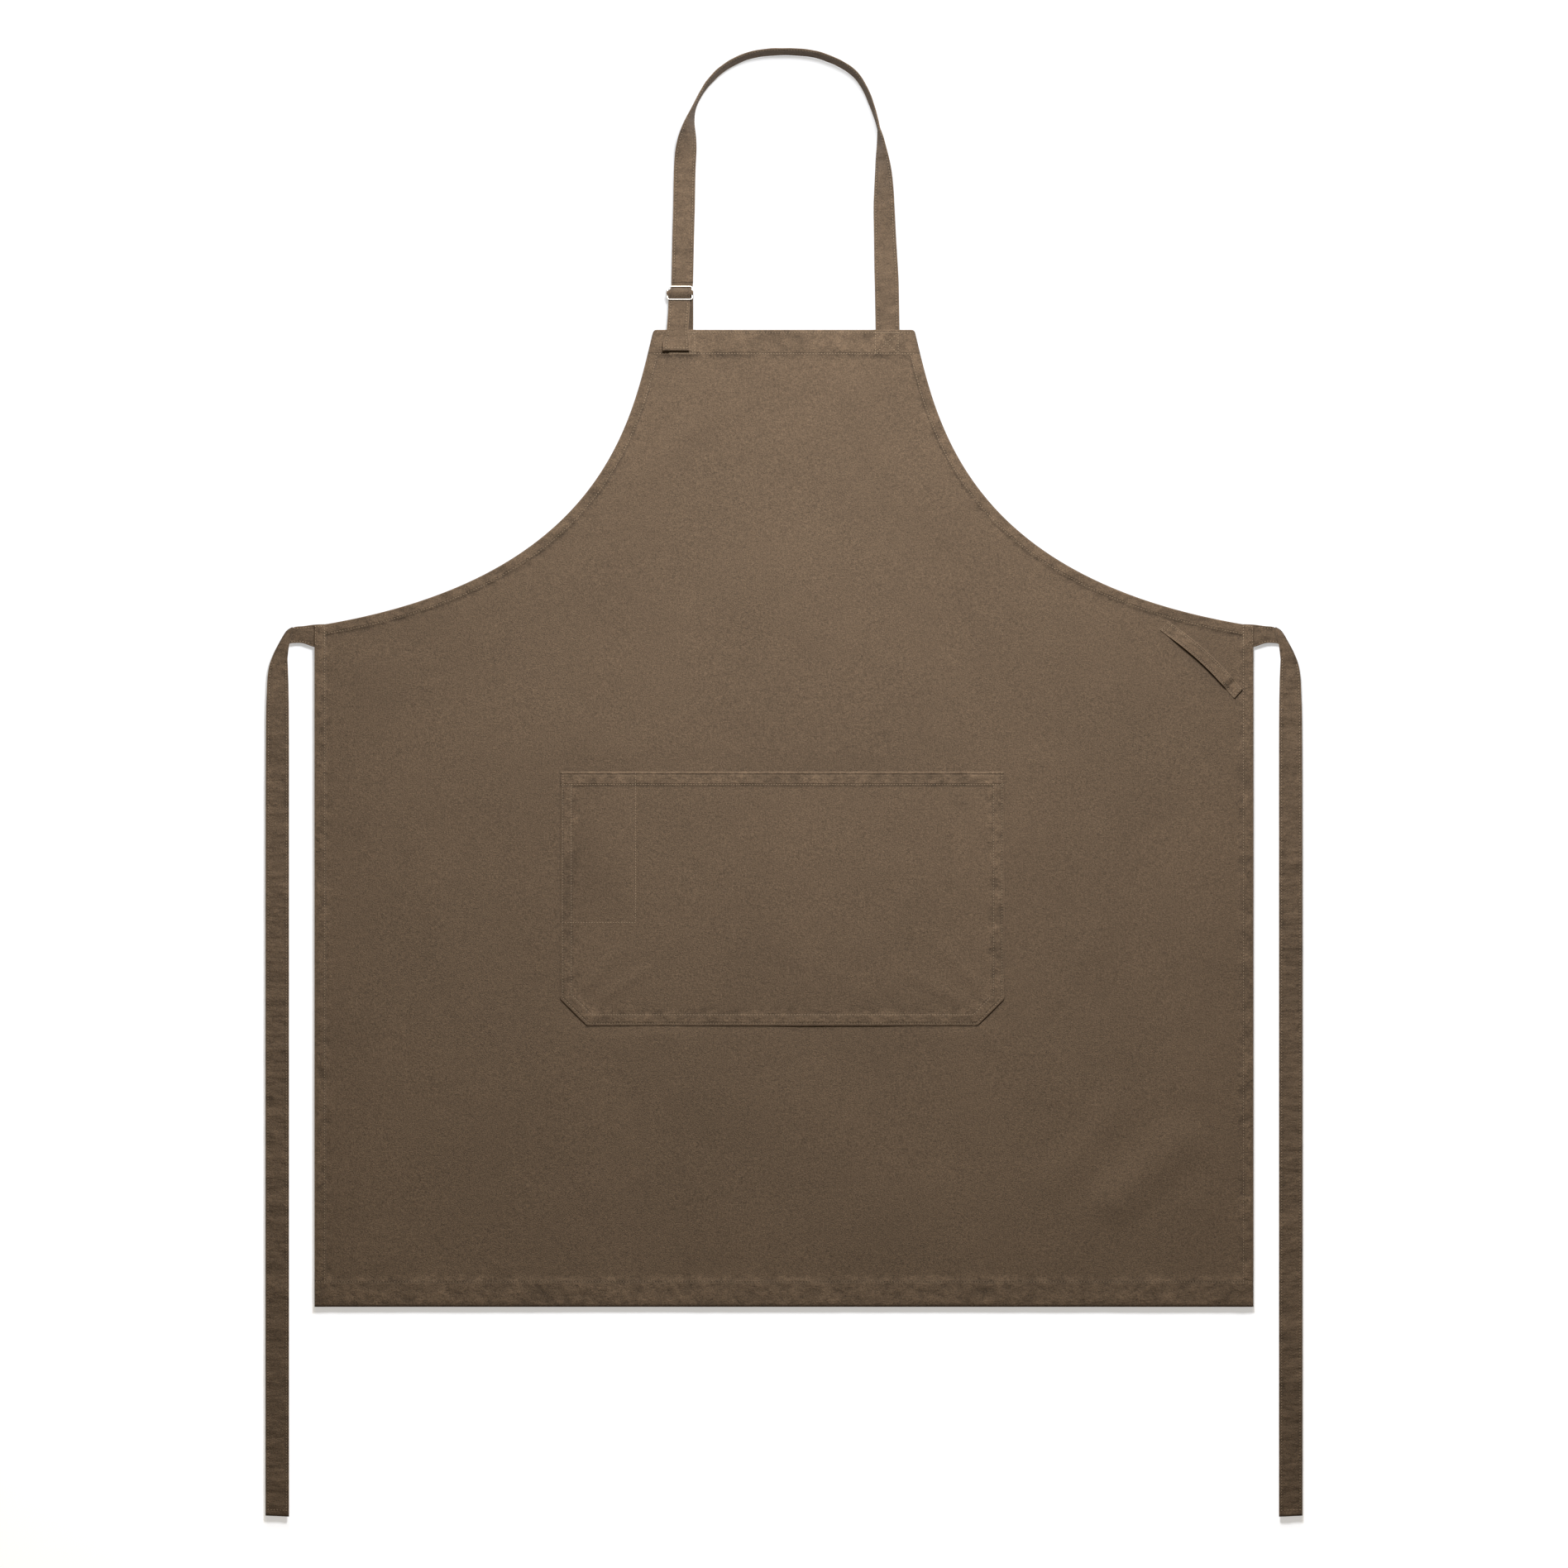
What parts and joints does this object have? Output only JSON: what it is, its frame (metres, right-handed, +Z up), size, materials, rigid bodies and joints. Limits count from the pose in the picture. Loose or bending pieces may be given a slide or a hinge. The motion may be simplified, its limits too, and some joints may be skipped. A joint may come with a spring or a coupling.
{
  "type": "butcher apron",
  "caption": "Full-length canvas bib apron laid flat, face up, with a patch pocket split for pencils, waist ties, a towel loop and a neck strap that runs through a metal slide.",
  "frame": {"origin": "centre of the object on the surface it lies on, under the middle of the body panel", "axes": "+Y towards the neck strap, +X towards the towel loop side as seen on the face, +Z up off the face of the cloth"},
  "size_m": [1.003, 1.42, 0.0208],
  "materials": {
    "canvas": "washed brown cotton canvas, plain weave, matt",
    "thread": "brown sewing thread, a little lighter than the cloth",
    "nickel": "smooth nickel-plated wire"
  },
  "bodies": {
    "apron": {"body_panel": "canvas", "pocket_panel": "canvas", "towel_loop": "canvas", "neck_tab": "canvas", "strap_through_slide": "canvas", "strap_right_end": "canvas", "waist_tie_left_end": "canvas", "waist_tie_right_end": "canvas", "bib_top_stitch": "thread", "bib_hem_stitch": "thread", "bottom_hem_stitch": "thread", "armhole_stitch_left": "thread", "side_hem_stitch_left": "thread", "waist_tie_left_box_stitch": "thread", "armhole_stitch_right": "thread", "side_hem_stitch_right": "thread", "waist_tie_right_box_stitch": "thread", "neck_tab_box_stitch": "thread", "neck_strap_box_stitch": "thread", "pocket_hem_stitch": "thread", "pocket_edge_stitch": "thread", "pocket_inner_stitch": "thread", "pencil_divider_stitch": "thread", "pocket_corner_tack": "thread", "towel_loop_tack_upper": "thread", "towel_loop_tack_lower": "thread"},
    "neck_loop": {"strap_neck_loop": "canvas", "neck_loop_stitch_outer": "thread", "neck_loop_stitch_inner": "thread"},
    "slide": {"slide_buckle": "nickel"},
    "tail": {"strap_tail": "canvas", "strap_tail_stitch": "thread"},
    "tie_left": {"waist_tie_left": "canvas", "waist_tie_left_stitch": "thread"},
    "tie_right": {"waist_tie_right": "canvas", "waist_tie_right_stitch": "thread"}
  },
  "joints": [
    {"name": "neck_loop_fold", "type": "hinge", "parent": "apron", "child": "neck_loop", "pos_m": [0, 0.4843, 0.005], "axis": [1, 0, 0], "range_deg": [0, 170]},
    {"name": "slide_rock", "type": "hinge", "parent": "apron", "child": "slide", "pos_m": [-0.0984, 0.4746, 0.004], "axis": [1, 0, 0], "range_deg": [-4, 4]},
    {"name": "tail_lift", "type": "hinge", "parent": "apron", "child": "tail", "pos_m": [-0.0984, 0.4665, 0.0031], "axis": [1, 0, 0], "range_deg": [-90, 0]},
    {"name": "tie_left_fold", "type": "hinge", "parent": "apron", "child": "tie_left", "pos_m": [-0.4554, 0.1432, 0.004], "axis": [0, 1, 0], "range_deg": [0, 165]},
    {"name": "tie_right_fold", "type": "hinge", "parent": "apron", "child": "tie_right", "pos_m": [0.4554, 0.1432, 0.004], "axis": [0, -1, 0], "range_deg": [0, 165]}
  ]
}
